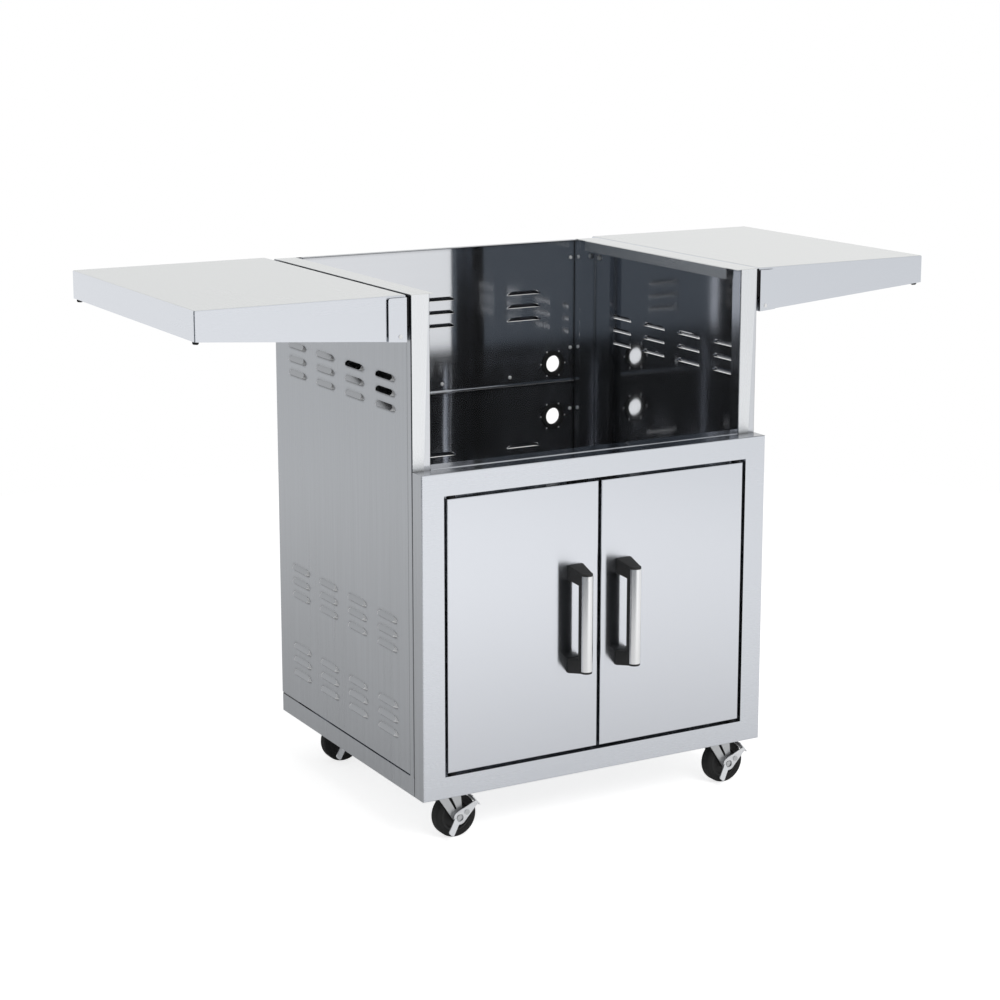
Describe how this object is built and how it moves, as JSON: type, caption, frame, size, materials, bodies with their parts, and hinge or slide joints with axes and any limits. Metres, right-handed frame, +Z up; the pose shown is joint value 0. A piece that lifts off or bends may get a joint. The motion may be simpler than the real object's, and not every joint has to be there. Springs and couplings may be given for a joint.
{
  "type": "grill cart",
  "caption": "Stainless steel grill cart with an open top bay for a drop-in grill head, louvred panels, hinged doors with bar handles, fold-down side shelves and braked swivel casters.",
  "frame": {"origin": "on the floor, under the middle of the overall box at rest with doors shut and shelves up", "axes": "+X across the cart to the right as seen from the doors, +Y from the doors to the back, +Z up"},
  "size_m": [1.3874, 0.6326, 0.914],
  "materials": {
    "stainless": "brushed stainless sheet",
    "zinc_steel": "bright zinc-plated steel",
    "black_plastic": "moulded satin black",
    "rubber": "soft matt black",
    "tyre": "soft matt black tread"
  },
  "bodies": {
    "cart": {"base_pan": "stainless", "caster_channels": "zinc_steel", "left_side_panel": "stainless", "right_side_panel": "stainless", "left_front_post": "stainless", "right_front_post": "stainless", "left_rear_post": "stainless", "right_rear_post": "stainless", "upper_back_panel": "stainless", "lower_back_panel": "stainless", "left_top_cap": "stainless", "right_top_cap": "stainless", "door_frame": "stainless", "front_sill": "stainless", "hose_grommets": "rubber", "shelf_brackets": "zinc_steel", "bracket_bolts": "zinc_steel", "shelf_pivot_pins": "zinc_steel", "door_pivots": "zinc_steel", "magnetic_catches": "black_plastic", "caster_plates": "zinc_steel", "caster_bolts": "zinc_steel"},
    "left_door": {"left_door_skin": "stainless", "left_door_liner": "stainless", "left_handle_tube": "stainless", "left_handle_brackets": "black_plastic", "left_strike_plate": "stainless"},
    "left_shelf": {"left_shelf": "stainless", "left_shelf_stiffener": "stainless", "left_shelf_bumpers": "rubber", "left_shelf_hinge_plates": "stainless"},
    "right_door": {"right_door_skin": "stainless", "right_door_liner": "stainless", "right_handle_tube": "stainless", "right_handle_brackets": "black_plastic", "right_strike_plate": "stainless"},
    "right_shelf": {"right_shelf": "stainless", "right_shelf_stiffener": "stainless", "right_shelf_bumpers": "rubber", "right_shelf_hinge_plates": "stainless"},
    "front_left_caster": {"front_left_fork": "zinc_steel", "front_left_axle": "zinc_steel"},
    "front_left_wheel": {"front_left_tyre": "tyre", "front_left_hub": "black_plastic"},
    "front_left_brake": {"front_left_brake_lever": "zinc_steel"},
    "front_right_caster": {"front_right_fork": "zinc_steel", "front_right_axle": "zinc_steel"},
    "front_right_wheel": {"front_right_tyre": "tyre", "front_right_hub": "black_plastic"},
    "front_right_brake": {"front_right_brake_lever": "zinc_steel"},
    "rear_left_caster": {"rear_left_fork": "zinc_steel", "rear_left_axle": "zinc_steel"},
    "rear_left_wheel": {"rear_left_tyre": "tyre", "rear_left_hub": "black_plastic"},
    "rear_left_brake": {"rear_left_brake_lever": "zinc_steel"},
    "rear_right_caster": {"rear_right_fork": "zinc_steel", "rear_right_axle": "zinc_steel"},
    "rear_right_wheel": {"rear_right_tyre": "tyre", "rear_right_hub": "black_plastic"},
    "rear_right_brake": {"rear_right_brake_lever": "zinc_steel"}
  },
  "joints": [
    {"name": "left_door_hinge", "type": "hinge", "parent": "cart", "child": "left_door", "pos_m": [-0.276, -0.26153, 0.357], "axis": [0, 0, -1], "range_deg": [0, 110]},
    {"name": "left_shelf_fold", "type": "hinge", "parent": "cart", "child": "left_shelf", "pos_m": [-0.3505, 0.03988, 0.8485], "axis": [0, -1, 0], "range_deg": [0, 92]},
    {"name": "right_door_hinge", "type": "hinge", "parent": "cart", "child": "right_door", "pos_m": [0.276, -0.26153, 0.357], "axis": [0, 0, 1], "range_deg": [0, 110]},
    {"name": "right_shelf_fold", "type": "hinge", "parent": "cart", "child": "right_shelf", "pos_m": [0.3505, 0.03988, 0.8485], "axis": [0, 1, 0], "range_deg": [0, 92]},
    {"name": "front_left_swivel", "type": "hinge", "parent": "cart", "child": "front_left_caster", "pos_m": [-0.27, -0.22303, 0.09], "axis": [0, 0, 1], "continuous": true},
    {"name": "front_left_wheel_spin", "type": "hinge", "parent": "front_left_caster", "child": "front_left_wheel", "pos_m": [-0.253, -0.22303, 0.0375], "axis": [0, 1, 0], "continuous": true},
    {"name": "front_left_brake_press", "type": "hinge", "parent": "front_left_caster", "child": "front_left_brake", "pos_m": [-0.2397, -0.22303, 0.0455], "axis": [0, -1, 0], "range_deg": [0, 8]},
    {"name": "front_right_swivel", "type": "hinge", "parent": "cart", "child": "front_right_caster", "pos_m": [0.27, -0.22303, 0.09], "axis": [0, 0, 1], "continuous": true},
    {"name": "front_right_wheel_spin", "type": "hinge", "parent": "front_right_caster", "child": "front_right_wheel", "pos_m": [0.287, -0.22303, 0.0375], "axis": [0, 1, 0], "continuous": true},
    {"name": "front_right_brake_press", "type": "hinge", "parent": "front_right_caster", "child": "front_right_brake", "pos_m": [0.3003, -0.22303, 0.0455], "axis": [0, -1, 0], "range_deg": [0, 8]},
    {"name": "rear_left_swivel", "type": "hinge", "parent": "cart", "child": "rear_left_caster", "pos_m": [-0.27, 0.20897, 0.09], "axis": [0, 0, 1], "continuous": true},
    {"name": "rear_left_wheel_spin", "type": "hinge", "parent": "rear_left_caster", "child": "rear_left_wheel", "pos_m": [-0.253, 0.20897, 0.0375], "axis": [0, 1, 0], "continuous": true},
    {"name": "rear_left_brake_press", "type": "hinge", "parent": "rear_left_caster", "child": "rear_left_brake", "pos_m": [-0.2397, 0.20897, 0.0455], "axis": [0, -1, 0], "range_deg": [0, 8]},
    {"name": "rear_right_swivel", "type": "hinge", "parent": "cart", "child": "rear_right_caster", "pos_m": [0.27, 0.20897, 0.09], "axis": [0, 0, 1], "continuous": true},
    {"name": "rear_right_wheel_spin", "type": "hinge", "parent": "rear_right_caster", "child": "rear_right_wheel", "pos_m": [0.287, 0.20897, 0.0375], "axis": [0, 1, 0], "continuous": true},
    {"name": "rear_right_brake_press", "type": "hinge", "parent": "rear_right_caster", "child": "rear_right_brake", "pos_m": [0.3003, 0.20897, 0.0455], "axis": [0, -1, 0], "range_deg": [0, 8]}
  ]
}
